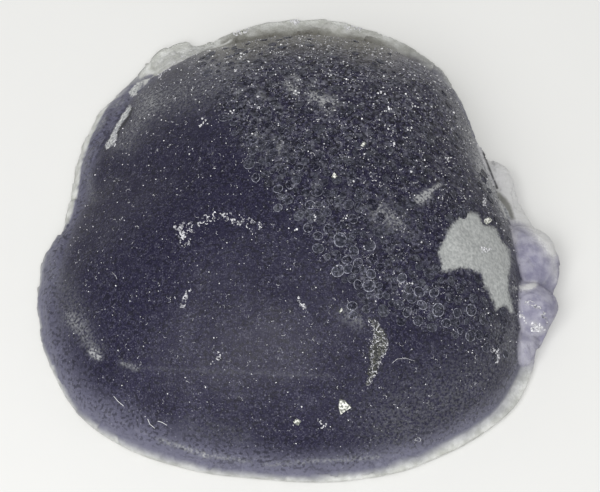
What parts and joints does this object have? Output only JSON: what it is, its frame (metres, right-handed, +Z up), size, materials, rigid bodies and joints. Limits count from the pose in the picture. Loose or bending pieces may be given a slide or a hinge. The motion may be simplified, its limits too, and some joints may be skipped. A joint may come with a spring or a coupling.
{
  "type": "fluorite specimen",
  "caption": "Low dome of dark violet fluorite with a broken edge, flat-topped blisters and pale rounded lobes on one side, resting on its flat break.",
  "frame": {"origin": "middle of the bounding box on the flat break that the specimen rests on", "axes": "+Z up out of the break through the dome, +X towards the pale lobes, +Y towards the blistered back edge"},
  "size_m": [0.068, 0.0698, 0.0212],
  "materials": {
    "violet_fluorite": "frosted, see-through where it is thin"
  },
  "bodies": {
    "root": {"fluorite_specimen": "violet_fluorite"}
  },
  "joints": []
}
